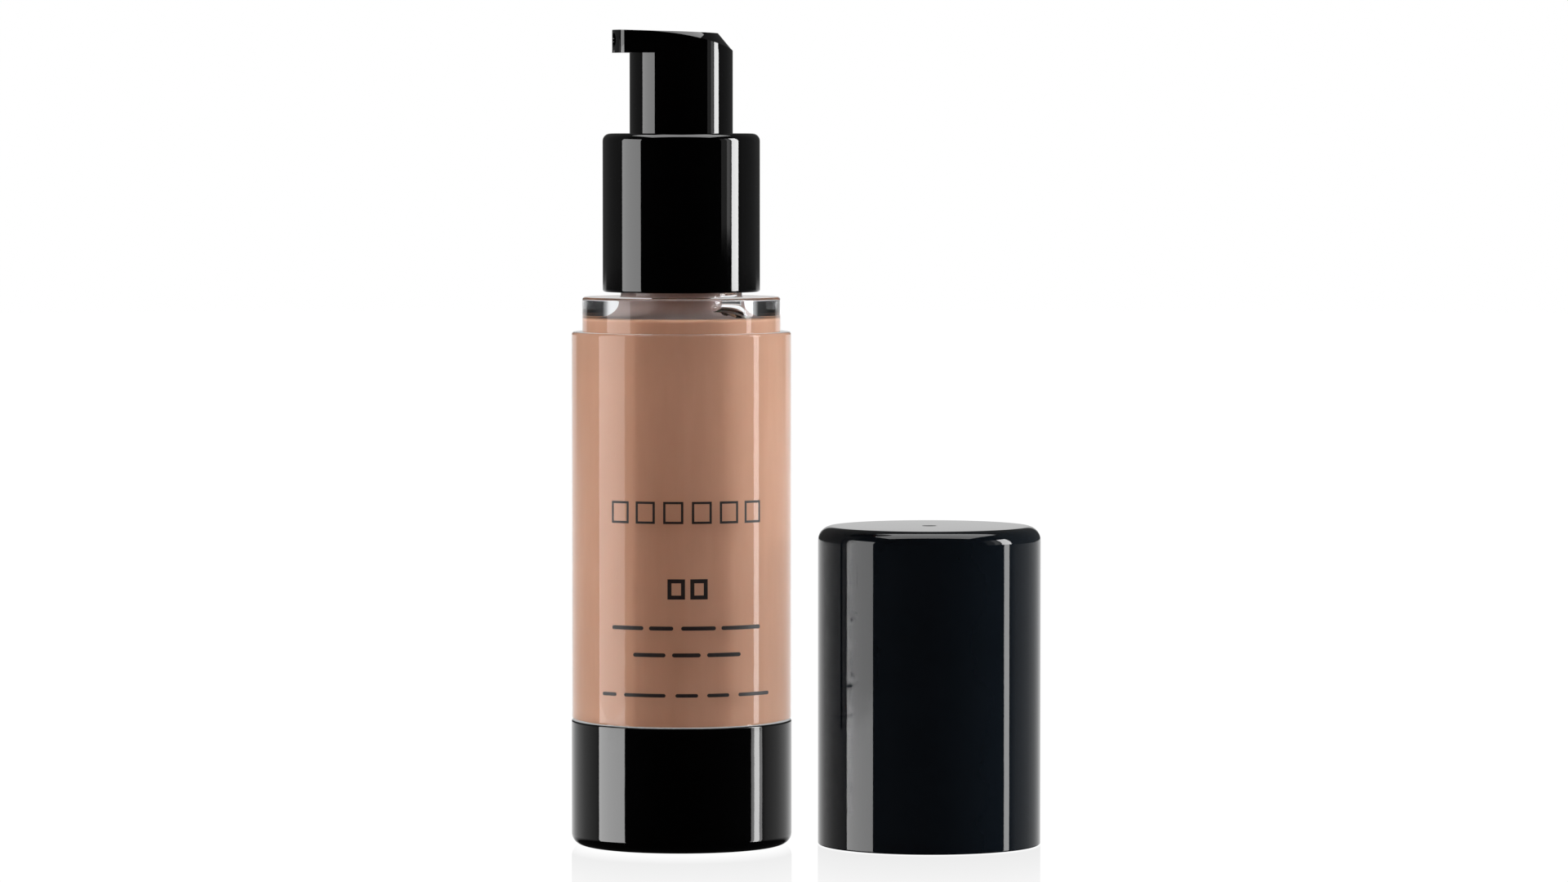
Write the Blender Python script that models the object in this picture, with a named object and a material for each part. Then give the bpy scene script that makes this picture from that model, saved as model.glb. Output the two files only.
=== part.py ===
"""A pump bottle of liquid foundation, with its overcap standing beside it.

Blender 4.5, in metres, +Z up. The origin is the centre of the bottle's base, and the spout points to -X,
turned a little to the front (-Y). The bottle is airless: the pump draws from the top, and a follower piston
under the foundation rises as it empties. Every round piece is an outline of (radius, height) corners turned
about its axis.
"""

import math

import bmesh
import bpy
from mathutils import Matrix, Vector

MM = 0.001

# Clearances. SEAT is left between faces that rest on each other, SLIP around a piece that slides or turns.
SEAT = 0.3 * MM
SLIP = 0.25 * MM

# Bottle: a thick clear wall, open at the bottom, with a stepped ring that the overcap grips.
BODY_RADIUS = 17.0 * MM
STEP_HEIGHT = 79.6 * MM
STEP_ROUND = 0.35 * MM
RING_RADIUS = 15.35 * MM
RING_HEIGHT = 5.4 * MM
RING_ROUND = 0.4 * MM
BORE_RADIUS = 13.4 * MM
SHOULDER_WALL = 3.3 * MM
SHOULDER_ROUND = 2.5 * MM
NECK_RADIUS = 8.85 * MM
NECK_GAP = 0.5 * MM
NECK_HEIGHT = 10.0 * MM
NECK_ROOT_RADIUS = NECK_RADIUS + 0.55 * MM
NECK_ROOT_HEIGHT = 0.9 * MM

# Screw thread between the neck and the closure, right-handed.
THREAD_PITCH = 3.175 * MM
THREAD_DEPTH = 0.95 * MM
THREAD_ROOT_WIDTH = 1.7 * MM
THREAD_CREST_WIDTH = 1.0 * MM
THREAD_BITE = 0.25 * MM
NECK_THREAD_TURNS = 1.1
CLOSURE_THREAD_TURNS = 1.0
NECK_THREAD_START = 4.6 * MM
UNSCREW_TURNS = 1.25
THREAD_RUN_OUT = 4

# Base cup, which snaps over the bottle's lower end.
BASE_RADIUS = BODY_RADIUS + 0.1 * MM
BASE_HEIGHT = 19.4 * MM
BASE_WALL = 1.4 * MM
BASE_FLOOR = 2.0 * MM
BASE_ROUND = 1.8 * MM
BASE_PLUG_WALL = 1.5 * MM
BASE_PLUG_HEIGHT = 3.7 * MM
SNAP_HEIGHT = 12.0 * MM
SNAP_WIDTH = 0.7 * MM
SNAP_DEPTH = 0.35 * MM
VENT_RADIUS = 0.6 * MM
VENT_OFFSET = 6.0 * MM

# Follower piston.
FOLLOWER_HEIGHT = 10.0 * MM
FOLLOWER_WALL = 1.2 * MM
FOLLOWER_LIP = 1.6 * MM
FOLLOWER_LIP_DEPTH = 0.35 * MM
FOLLOWER_DECK_DROP = 2.5 * MM
WELL_CLEARANCE = 1.6 * MM

# Neck stack: gasket, housing flange and closure.
GASKET_THICKNESS = 0.8 * MM
FLANGE_THICKNESS = 1.2 * MM
CLOSURE_WALL = 0.9 * MM
CLOSURE_WEB = 1.2 * MM
CLOSURE_TOE = 0.4 * MM
KNURL_DEPTH = 0.25 * MM

# Pump engine.
STROKE = 6.0 * MM
STEM_RADIUS = 2.1 * MM
STEM_BORE = 1.1 * MM
STEM_HEAD_ROOM = 13.0 * MM
PORT_RADIUS = 0.45 * MM
CHAMBER_RADIUS = 3.6 * MM
CHAMBER_WALL = 1.0 * MM
SLEEVE_RADIUS = CHAMBER_RADIUS + 1.3 * MM
HOUSING_RIM = 1.0 * MM
HOUSING_FLOOR = 4.2 * MM
RETAINER_PLUG = 5.6 * MM
RETAINER_FLANGE = 1.0 * MM
RETAINER_WALL = 1.25 * MM
RETAINER_GUIDE = 2.4 * MM
SEAL_HEIGHT = 3.4 * MM
SEAL_SLIP_TRAVEL = 1.2 * MM
SEAL_LIP_DEPTH = 0.3 * MM
FOOT_FLANGE = 1.2 * MM
FOOT_RADIUS = CHAMBER_RADIUS - 0.5 * MM
FOOT_PIN_RADIUS = 1.1 * MM
STEM_FLOOR = 0.3 * MM
BALL_RADIUS = 1.4 * MM
BALL_LIFT = 0.8 * MM
POCKET_RADIUS = 1.75 * MM
INLET_RADIUS = 1.0 * MM
INLET_LENGTH = 1.2 * MM
SEAT_CONE = 0.8 * MM
NUB_COUNT = 3
NUB_REACH = 1.2 * MM
NUB_WIDTH = 0.7 * MM
NUB_HEIGHT = 0.7 * MM
SPRING_WIRE = 0.5 * MM
SPRING_RADIUS = CHAMBER_RADIUS - 0.9 * MM
SPRING_LENGTH = 9.4 * MM
SPRING_TURNS = 6.0
SPRING_END_TURNS = 1.0

# Collar: the glossy sleeve over the closure, with a guide tube for the head.
COLLAR_WALL = 0.9 * MM
COLLAR_HEIGHT = 24.5 * MM
COLLAR_LIFT = 0.8 * MM
COLLAR_ROUND = 1.2 * MM
COLLAR_TOP = 1.1 * MM
GUIDE_WALL = 0.8 * MM
GUIDE_LENGTH = 8.5 * MM
LEDGE_THICKNESS = 1.0 * MM
LEDGE_WIDTH = 1.4 * MM

# Pump head: a cylinder with a tapering spout, and a bevel that deepens from the nose to the back.
HEAD_RADIUS = 8.0 * MM
HEAD_RISE = 15.95 * MM
HEAD_WALL = 1.1 * MM
HEAD_TURN = 14.5
SPOUT_REACH = HEAD_RADIUS + 2.7 * MM
SPOUT_HEIGHT = 3.55 * MM
NOSE_SPREAD = 12.6
NOSE_ROUND = 2.1 * MM
TOP_SLOPE = 1.9
BEVEL_ANGLE = 49.5
BEVEL_DEPTH = 2.8 * MM
BEVEL_REACH = HEAD_RADIUS + 0.2 * MM
NOZZLE_RADIUS = 0.95 * MM
NOZZLE_DROP = 1.6 * MM
RISER_RADIUS = 1.0 * MM
SOCKET_WALL = 1.0 * MM
SOCKET_LIFT = 1.4 * MM

# Overcap: a glossy shell with a thin liner.
CAP_WALL = 0.9 * MM
CAP_TOP = 1.2 * MM
CAP_ROUND = 2.5 * MM
CAP_HEADROOM = 0.7 * MM
LINER_WALL = 0.6 * MM
LINER_GAP = 0.2 * MM
LINER_SETBACK = 0.5 * MM
BEAD_HEIGHT = 2.2 * MM
BEAD_WIDTH = 1.0 * MM
BEAD_DEPTH = 0.15 * MM
DIMPLE_RADIUS = 1.1 * MM
DIMPLE_DEPTH = 0.25 * MM
CAP_DISTANCE = 4.05 * MM

# How finely round pieces are cut.
SEGMENTS = 40
SMALL_SEGMENTS = 24
BEND = math.radians(22.5)
SMALL_BEND = math.radians(45.0)
SMALL_ROUND = 0.6 * MM
WELD = 0.001 * MM
MARGIN = 1.0 * MM

# Heights that follow from the sizes above.
RING_TOP = STEP_HEIGHT + RING_HEIGHT
SHOULDER = RING_TOP - SHOULDER_WALL
NECK_TOP = RING_TOP + NECK_HEIGHT
BOTTLE_FOOT = BASE_FLOOR + SEAT
SPIGOT_RADIUS = BASE_RADIUS - BASE_WALL - SEAT
NECK_BORE = SLEEVE_RADIUS + CHAMBER_WALL + NECK_GAP

GASKET_Z = NECK_TOP + SEAT
FLANGE_Z = GASKET_Z + GASKET_THICKNESS + SEAT
FLANGE_TOP = FLANGE_Z + FLANGE_THICKNESS
CLOSURE_BORE = NECK_RADIUS + THREAD_DEPTH + 1.2 * SLIP
FLANGE_RADIUS = CLOSURE_BORE - 3 * SLIP
WEB_Z = FLANGE_TOP + SEAT
CLOSURE_TOP = WEB_Z + CLOSURE_WEB
RIM_TOP = FLANGE_TOP + HOUSING_RIM
RETAINER_TOP = RIM_TOP + SEAT + RETAINER_FLANGE
RETAINER_FOOT = RIM_TOP + SEAT - RETAINER_PLUG
CHAMBER_TOP = RETAINER_FOOT - SEAT
SEAL_TOP = RETAINER_FOOT - SEAT - SEAL_SLIP_TRAVEL
SEAL_FOOT = SEAL_TOP - SEAL_HEIGHT
FOOT_TOP = SEAL_FOOT - SEAT
FOOT_UNDERSIDE = FOOT_TOP - FOOT_FLANGE
CHAMBER_FLOOR = FOOT_UNDERSIDE - 2 * SEAT - SPRING_LENGTH
HOUSING_FOOT = CHAMBER_FLOOR - HOUSING_FLOOR

COLLAR_BORE = CLOSURE_BORE + CLOSURE_WALL + SEAT
COLLAR_RADIUS = COLLAR_BORE + COLLAR_WALL
COLLAR_FOOT = RING_TOP + COLLAR_LIFT
COLLAR_CREST = COLLAR_FOOT + COLLAR_HEIGHT
HEAD_TOP = COLLAR_CREST + HEAD_RISE
SPOUT_FLOOR = HEAD_TOP - SPOUT_HEIGHT
HEAD_FOOT = max(CLOSURE_TOP, RETAINER_TOP - SEAT) + STROKE + 2 * SEAT
HEAD_CEILING = SPOUT_FLOOR - HEAD_WALL
SOCKET_FOOT = RETAINER_TOP + STROKE + SOCKET_LIFT
STEM_TOP = SOCKET_FOOT + STEM_HEAD_ROOM - 2 * SOCKET_LIFT
NOZZLE_Z = HEAD_TOP - NOZZLE_DROP

FOLLOWER_FOOT = BASE_FLOOR + BASE_PLUG_HEIGHT + SEAT
FOLLOWER_TOP = FOLLOWER_FOOT + FOLLOWER_HEIGHT
FOLLOWER_TRAVEL = SHOULDER - SEAT - FOLLOWER_TOP
WELL_FLOOR = HOUSING_FOOT - SEAT - FOLLOWER_TRAVEL
WELL_RADIUS = CHAMBER_RADIUS + CHAMBER_WALL + WELL_CLEARANCE
DECK = FOLLOWER_TOP - FOLLOWER_DECK_DROP

LINER_BORE = RING_RADIUS + SLIP
LINER_RADIUS = LINER_BORE + LINER_WALL
CAP_BORE = LINER_RADIUS + LINER_GAP
CAP_RADIUS = CAP_BORE + CAP_WALL
LINER_CEILING = HEAD_TOP - STEP_HEIGHT + CAP_HEADROOM
CAP_CEILING = LINER_CEILING + LINER_WALL + SEAT
CAP_HEIGHT = CAP_CEILING + CAP_TOP
CAP_X = BASE_RADIUS + CAP_DISTANCE + CAP_RADIUS


def material(name, colour, roughness, metallic=0.0, alpha=1.0):
    made = bpy.data.materials.new(name)
    made.use_nodes = True
    shader = made.node_tree.nodes["Principled BSDF"]
    shader.inputs["Base Color"].default_value = (*colour, 1.0)
    shader.inputs["Roughness"].default_value = roughness
    shader.inputs["Metallic"].default_value = metallic
    shader.inputs["Alpha"].default_value = alpha
    return made


def rounded(corners):
    """The outline through these (radius, height) corners, where one with a third number is rounded to it."""
    outline = []
    for index, corner in enumerate(corners):
        here = Vector(corner[:2])
        if len(corner) == 2:
            outline.append(here)
            continue
        before = (Vector(corners[index - 1][:2]) - here).normalized()
        after = (Vector(corners[(index + 1) % len(corners)][:2]) - here).normalized()
        radius = corner[2]
        half_angle = before.angle(after) / 2
        centre = here + (before + after).normalized() * (radius / math.sin(half_angle))
        start = here + before * (radius / math.tan(half_angle)) - centre
        turn = math.pi - 2 * half_angle
        if start.x * before.y - start.y * before.x > 0:
            turn = -turn
        steps = max(1, round(abs(turn) / (SMALL_BEND if radius < SMALL_ROUND else BEND)))
        for step in range(steps + 1):
            outline.append(centre + Matrix.Rotation(turn * step / steps, 2) @ start)
    return outline


def add_object(name, bm, coat=None):
    """A new object from a bmesh. Without a coat it is a helper for a Boolean, and is left out of the build."""
    bmesh.ops.recalc_face_normals(bm, faces=bm.faces)
    mesh = bpy.data.meshes.new(name)
    bm.to_mesh(mesh)
    bm.free()
    made = bpy.data.objects.new(name, mesh)
    bpy.context.scene.collection.objects.link(made)
    if coat is None:
        made.hide_render = True
        made.display_type = "WIRE"
        return made
    mesh.materials.append(coat)
    mesh.shade_smooth()
    mesh.set_sharp_from_angle(angle=math.radians(30))
    return made


def turned_mesh(corners, segments):
    """The outline turned about Z. It is a closed loop, or both its ends are on the axis."""
    bm = bmesh.new()
    verts = [bm.verts.new((point.x, 0, point.y)) for point in rounded(corners)]
    following = verts[1:] + verts[:1] if corners[0][0] > 0 else verts[1:]
    edges = [bm.edges.new(pair) for pair in zip(verts, following)]
    bmesh.ops.spin(
        bm, geom=verts + edges, cent=(0, 0, 0), axis=(0, 0, 1), angle=math.tau, steps=segments, use_merge=True
    )
    bmesh.ops.remove_doubles(bm, verts=bm.verts, dist=WELD)
    return bm


def turned(name, corners, coat=None, segments=SEGMENTS):
    return add_object(name, turned_mesh(corners, segments), coat)


def rod(name, radius, start, end, segments=SMALL_SEGMENTS):
    """A helper cylinder between two points."""
    axis = Vector(end) - Vector(start)
    bm = bmesh.new()
    bmesh.ops.create_cone(
        bm, cap_ends=True, segments=segments, radius1=radius, radius2=radius, depth=axis.length
    )
    turn = axis.to_track_quat("Z", "Y").to_matrix().to_4x4()
    middle = (Vector(start) + Vector(end)) / 2
    bmesh.ops.transform(bm, matrix=Matrix.Translation(middle) @ turn, verts=bm.verts)
    return add_object(name, bm)


def combine(target, helper, operation):
    modifier = target.modifiers.new(helper.name, "BOOLEAN")
    modifier.operation = operation
    modifier.object = helper


def thread_ridge(name, wall_radius, crest_radius, start_height, turns):
    """A helical ridge whose root lies inside the wall, so that a union joins it, and whose ends run out."""
    outward = 1 if crest_radius > wall_radius else -1
    root_radius = wall_radius - outward * THREAD_BITE
    steps = round(SEGMENTS * turns)
    bm = bmesh.new()
    sections = []
    for step in range(steps + 1):
        share = min(1.0, (step + 0.3) / THREAD_RUN_OUT, (steps - step + 0.3) / THREAD_RUN_OUT)
        crest = wall_radius + (crest_radius - wall_radius) * share
        angle = math.tau * turns * step / steps
        height = start_height + THREAD_PITCH * turns * step / steps
        section = []
        for radius, half_width in ((root_radius, THREAD_ROOT_WIDTH / 2), (crest, THREAD_CREST_WIDTH / 2)):
            for side in (-1, 1):
                place = (radius * math.cos(angle), radius * math.sin(angle), height + side * half_width)
                section.append(bm.verts.new(place))
        root_low, root_high, crest_low, crest_high = section
        sections.append((root_low, crest_low, crest_high, root_high))
    for first, second in zip(sections, sections[1:]):
        for corner in range(4):
            following = (corner + 1) % 4
            bm.faces.new((first[corner], first[following], second[following], second[corner]))
    bm.faces.new(sections[0])
    bm.faces.new(sections[-1])
    return add_object(name, bm)


def bottle_body(coat):
    snap_radius = SPIGOT_RADIUS + SNAP_DEPTH
    snap_end = SNAP_HEIGHT + SNAP_WIDTH
    corners = [
        (BORE_RADIUS, BOTTLE_FOOT),
        (SPIGOT_RADIUS, BOTTLE_FOOT),
        (SPIGOT_RADIUS, SNAP_HEIGHT - SNAP_DEPTH),
        (snap_radius, SNAP_HEIGHT),
        (snap_radius, snap_end),
        (SPIGOT_RADIUS, snap_end + SNAP_DEPTH),
        (SPIGOT_RADIUS, BASE_HEIGHT + SEAT),
        (BODY_RADIUS, BASE_HEIGHT + SEAT),
        (BODY_RADIUS, STEP_HEIGHT, STEP_ROUND),
        (RING_RADIUS, STEP_HEIGHT),
        (RING_RADIUS, RING_TOP, RING_ROUND),
        (NECK_ROOT_RADIUS, RING_TOP),
        (NECK_ROOT_RADIUS, RING_TOP + NECK_ROOT_HEIGHT),
        (NECK_RADIUS, RING_TOP + NECK_ROOT_HEIGHT + (NECK_ROOT_RADIUS - NECK_RADIUS)),
        (NECK_RADIUS, NECK_TOP),
        (NECK_BORE, NECK_TOP),
        (NECK_BORE, SHOULDER, SHOULDER_ROUND),
        (BORE_RADIUS, SHOULDER),
    ]
    made = turned("bottle_body", corners, coat)
    start = RING_TOP + NECK_THREAD_START
    crest = NECK_RADIUS + THREAD_DEPTH
    combine(made, thread_ridge("neck_thread", NECK_RADIUS, crest, start, NECK_THREAD_TURNS), "UNION")


def base_cup(coat):
    bore = BASE_RADIUS - BASE_WALL
    groove = bore + SNAP_DEPTH
    snap_end = SNAP_HEIGHT + SNAP_WIDTH
    plug = BORE_RADIUS - SEAT
    corners = [
        (0, 0),
        (BASE_RADIUS, 0, BASE_ROUND),
        (BASE_RADIUS, BASE_HEIGHT),
        (bore, BASE_HEIGHT),
        (bore, snap_end + SNAP_DEPTH),
        (groove, snap_end),
        (groove, SNAP_HEIGHT),
        (bore, SNAP_HEIGHT - SNAP_DEPTH),
        (bore, BASE_FLOOR),
        (plug, BASE_FLOOR),
        (plug, BASE_FLOOR + BASE_PLUG_HEIGHT),
        (plug - BASE_PLUG_WALL, BASE_FLOOR + BASE_PLUG_HEIGHT),
        (plug - BASE_PLUG_WALL, BASE_FLOOR),
        (0, BASE_FLOOR),
    ]
    made = turned("base_cup", corners, coat)
    vent = rod("vent_hole", VENT_RADIUS, (VENT_OFFSET, 0, -MARGIN), (VENT_OFFSET, 0, BASE_FLOOR + MARGIN), 12)
    combine(made, vent, "DIFFERENCE")


def follower_piston(coat):
    """A cup with a sealing lip at each end, and a well that takes the pump's foot at the end of its travel."""
    lip = BORE_RADIUS - SLIP
    waist = lip - FOLLOWER_LIP_DEPTH
    inner = lip - FOLLOWER_WALL
    well_wall = WELL_RADIUS + FOLLOWER_WALL
    deck_underside = DECK - FOLLOWER_WALL
    corners = [
        (0, WELL_FLOOR - FOLLOWER_WALL),
        (well_wall, WELL_FLOOR - FOLLOWER_WALL),
        (well_wall, deck_underside),
        (inner, deck_underside),
        (inner, FOLLOWER_FOOT),
        (lip, FOLLOWER_FOOT),
        (lip, FOLLOWER_FOOT + FOLLOWER_LIP),
        (waist, FOLLOWER_FOOT + FOLLOWER_LIP + FOLLOWER_LIP_DEPTH),
        (waist, FOLLOWER_TOP - FOLLOWER_LIP - FOLLOWER_LIP_DEPTH),
        (lip, FOLLOWER_TOP - FOLLOWER_LIP),
        (lip, FOLLOWER_TOP),
        (inner, DECK),
        (WELL_RADIUS, DECK),
        (WELL_RADIUS, WELL_FLOOR),
        (0, WELL_FLOOR),
    ]
    turned("follower_piston", corners, coat)


def foundation_column(coat):
    """The foundation between the follower and the shoulder, which shortens as the follower rises."""
    wall = BORE_RADIUS - SEAT
    inner = BORE_RADIUS - SLIP - FOLLOWER_WALL
    well = WELL_RADIUS - SEAT
    housing = CHAMBER_RADIUS + CHAMBER_WALL + SEAT
    corners = [
        (0, WELL_FLOOR + SEAT),
        (well, WELL_FLOOR + SEAT),
        (well, DECK + SEAT),
        (inner, DECK + SEAT),
        (wall, FOLLOWER_TOP + SEAT),
        (wall, SHOULDER - SEAT),
        (housing, SHOULDER - SEAT),
        (housing, HOUSING_FOOT - SEAT),
        (0, HOUSING_FOOT - SEAT),
    ]
    turned("foundation_column", corners, coat)


def foundation_neck(coat):
    """The foundation in the neck, round the pump's housing, which stays where it is."""
    housing = CHAMBER_RADIUS + CHAMBER_WALL + SEAT
    neck = NECK_BORE - SEAT
    start = math.acos(1 - SEAT / SHOULDER_ROUND)
    steps = 3
    corners = [(housing, CHAMBER_TOP - MARGIN - SEAT), (housing, SHOULDER)]
    for step in range(steps + 1):
        angle = start + (math.pi / 2 - start) * step / steps
        radius = neck + SHOULDER_ROUND * (1 - math.sin(angle))
        corners.append((radius, SHOULDER - SEAT + SHOULDER_ROUND * (1 - math.cos(angle))))
    corners.append((neck, CHAMBER_TOP - MARGIN - SEAT))
    turned("foundation_neck", corners, coat)


def neck_gasket(coat):
    corners = [
        (NECK_BORE, GASKET_Z),
        (NECK_RADIUS, GASKET_Z),
        (NECK_RADIUS, GASKET_Z + GASKET_THICKNESS),
        (NECK_BORE, GASKET_Z + GASKET_THICKNESS),
    ]
    turned("neck_gasket", corners, coat)


def pump_housing(coat):
    """The cylinder that hangs in the neck by its flange, with the inlet seat at its foot."""
    barrel = CHAMBER_RADIUS + CHAMBER_WALL
    sleeve = SLEEVE_RADIUS + CHAMBER_WALL
    cone_foot = HOUSING_FOOT + INLET_LENGTH
    corners = [
        (INLET_RADIUS, HOUSING_FOOT),
        (POCKET_RADIUS + CHAMBER_WALL, HOUSING_FOOT),
        (barrel, CHAMBER_FLOOR - CHAMBER_WALL),
        (barrel, CHAMBER_TOP - MARGIN),
        (sleeve, CHAMBER_TOP),
        (sleeve, FLANGE_Z),
        (FLANGE_RADIUS, FLANGE_Z),
        (FLANGE_RADIUS, FLANGE_TOP),
        (sleeve, FLANGE_TOP),
        (sleeve, RIM_TOP),
        (SLEEVE_RADIUS, RIM_TOP),
        (SLEEVE_RADIUS, CHAMBER_TOP),
        (CHAMBER_RADIUS, CHAMBER_TOP),
        (CHAMBER_RADIUS, CHAMBER_FLOOR),
        (POCKET_RADIUS, CHAMBER_FLOOR),
        (POCKET_RADIUS, cone_foot + SEAT_CONE),
        (INLET_RADIUS, cone_foot),
    ]
    made = turned("pump_housing", corners, coat, SMALL_SEGMENTS)
    combine(made, ball_nubs(), "UNION")


def ball_nubs():
    """The nubs round the pocket's mouth that keep the ball from following the stem."""
    bm = bmesh.new()
    outer = POCKET_RADIUS + 2 * THREAD_BITE
    for number in range(NUB_COUNT):
        size = Matrix.Diagonal((outer - NUB_REACH, NUB_WIDTH, NUB_HEIGHT + THREAD_BITE, 1))
        place = Vector(((outer + NUB_REACH) / 2, 0, CHAMBER_FLOOR + (NUB_HEIGHT - THREAD_BITE) / 2))
        turn = Matrix.Rotation(math.tau * number / NUB_COUNT, 4, "Z")
        bmesh.ops.create_cube(bm, size=1, matrix=turn @ Matrix.Translation(place) @ size)
    return add_object("ball_nubs", bm)


def pump_retainer(coat):
    """The guide that snaps into the housing's mouth and stops the stem."""
    hole = STEM_RADIUS + SLIP
    plug = SLEEVE_RADIUS - SLIP
    corners = [
        (hole, RETAINER_TOP - RETAINER_GUIDE),
        (plug - RETAINER_WALL, RETAINER_TOP - RETAINER_GUIDE),
        (plug - RETAINER_WALL, RETAINER_FOOT),
        (plug, RETAINER_FOOT),
        (plug, RIM_TOP + SEAT),
        (SLEEVE_RADIUS + CHAMBER_WALL, RIM_TOP + SEAT),
        (SLEEVE_RADIUS + CHAMBER_WALL, RETAINER_TOP),
        (hole, RETAINER_TOP),
    ]
    turned("pump_retainer", corners, coat, SMALL_SEGMENTS)


def pump_stem(coat):
    """A tube, closed at its lower end, with two ports just above its floor and a pin for the foot."""
    shoulder = FOOT_TOP + SEAT
    corners = [
        (0, FOOT_UNDERSIDE - FOOT_FLANGE),
        (FOOT_PIN_RADIUS, FOOT_UNDERSIDE - FOOT_FLANGE),
        (FOOT_PIN_RADIUS, shoulder),
        (STEM_RADIUS, shoulder),
        (STEM_RADIUS, STEM_TOP),
        (STEM_BORE, STEM_TOP),
        (STEM_BORE, shoulder + STEM_FLOOR),
        (0, shoulder + STEM_FLOOR),
    ]
    made = turned("pump_stem", corners, coat, SMALL_SEGMENTS)
    height = shoulder + STEM_FLOOR + PORT_RADIUS
    reach = STEM_RADIUS + MARGIN
    combine(made, rod("stem_ports", PORT_RADIUS, (-reach, 0, height), (reach, 0, height), 12), "DIFFERENCE")


def stem_foot(coat):
    """The ring pressed on the stem's pin. The spring pushes it up, and the piston rests on it."""
    bore = FOOT_PIN_RADIUS + SLIP
    pilot = SPRING_RADIUS - SPRING_WIRE / 2 - SLIP
    corners = [
        (bore, FOOT_UNDERSIDE - FOOT_FLANGE),
        (pilot, FOOT_UNDERSIDE - FOOT_FLANGE),
        (pilot, FOOT_UNDERSIDE),
        (FOOT_RADIUS, FOOT_UNDERSIDE),
        (FOOT_RADIUS, FOOT_TOP),
        (bore, FOOT_TOP),
    ]
    turned("stem_foot", corners, coat, SMALL_SEGMENTS)


def stem_piston(coat):
    """The soft seal that slides on the stem and wipes the chamber."""
    bore = STEM_RADIUS + SLIP
    lip = CHAMBER_RADIUS - SLIP
    waist = lip - SEAL_LIP_DEPTH
    corners = [
        (bore, SEAL_FOOT),
        (lip, SEAL_FOOT),
        (lip, SEAL_FOOT + SEAL_HEIGHT / 5),
        (waist, SEAL_FOOT + SEAL_HEIGHT * 2 / 5),
        (waist, SEAL_TOP - SEAL_HEIGHT * 2 / 5),
        (lip, SEAL_TOP - SEAL_HEIGHT / 5),
        (lip, SEAL_TOP),
        (bore, SEAL_TOP),
    ]
    turned("stem_piston", corners, coat, SMALL_SEGMENTS)


def return_spring(coat):
    """A compression spring with a closed turn at each end."""
    rise = SPRING_LENGTH - SPRING_WIRE
    closed_rise = SPRING_END_TURNS * SPRING_WIRE * 1.15
    open_turns = SPRING_TURNS - 2 * SPRING_END_TURNS
    steps_per_turn = 16
    count = round(SPRING_TURNS * steps_per_turn)
    curve = bpy.data.curves.new("return_spring", "CURVE")
    curve.dimensions = "3D"
    curve.bevel_depth = SPRING_WIRE / 2
    curve.bevel_resolution = 1
    curve.use_fill_caps = True
    spline = curve.splines.new("POLY")
    spline.points.add(count)
    for number, point in enumerate(spline.points):
        turns = number / steps_per_turn
        if turns <= SPRING_END_TURNS:
            height = closed_rise * turns / SPRING_END_TURNS
        elif turns >= SPRING_TURNS - SPRING_END_TURNS:
            height = rise - closed_rise * (SPRING_TURNS - turns) / SPRING_END_TURNS
        else:
            height = closed_rise + (rise - 2 * closed_rise) * (turns - SPRING_END_TURNS) / open_turns
        angle = math.tau * turns
        z = CHAMBER_FLOOR + SEAT + SPRING_WIRE / 2 + height
        point.co = (SPRING_RADIUS * math.cos(angle), SPRING_RADIUS * math.sin(angle), z, 1)
    curve.materials.append(coat)
    bpy.context.scene.collection.objects.link(bpy.data.objects.new("return_spring", curve))


def inlet_ball(coat):
    """The ball rests on the cone between the pocket and the inlet."""
    cone = Vector((POCKET_RADIUS - INLET_RADIUS, SEAT_CONE)).normalized()
    centre_height = (BALL_RADIUS + SLIP / 2 - INLET_RADIUS * cone.y) / cone.x
    bm = bmesh.new()
    bmesh.ops.create_uvsphere(bm, u_segments=16, v_segments=10, radius=BALL_RADIUS)
    made = add_object("inlet_ball", bm, coat)
    made.location = (0, 0, HOUSING_FOOT + INLET_LENGTH + centre_height)


def closure_ring(coat):
    """The threaded ring that clamps the housing's flange, knurled where the collar grips it."""
    outer = CLOSURE_BORE + CLOSURE_WALL
    opening = SLEEVE_RADIUS + CHAMBER_WALL + SEAT
    foot = COLLAR_FOOT + CLOSURE_TOE
    corners = [
        (CLOSURE_BORE, foot),
        (outer, foot),
        (outer, CLOSURE_TOP),
        (opening, CLOSURE_TOP),
        (opening, WEB_Z),
        (CLOSURE_BORE, WEB_Z),
    ]
    bm = turned_mesh(corners, SEGMENTS)
    for vert in bm.verts:
        spoke = round(math.atan2(vert.co.y, vert.co.x) / math.tau * SEGMENTS)
        if spoke % 2 and math.hypot(vert.co.x, vert.co.y) > outer - WELD:
            vert.co.xy *= (outer - KNURL_DEPTH) / outer
    made = add_object("closure_ring", bm, coat)
    start = RING_TOP + NECK_THREAD_START - THREAD_PITCH / 2
    crest = CLOSURE_BORE - THREAD_DEPTH
    ridge = thread_ridge("closure_thread", CLOSURE_BORE, crest, start, CLOSURE_THREAD_TURNS)
    combine(made, ridge, "UNION")


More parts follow.
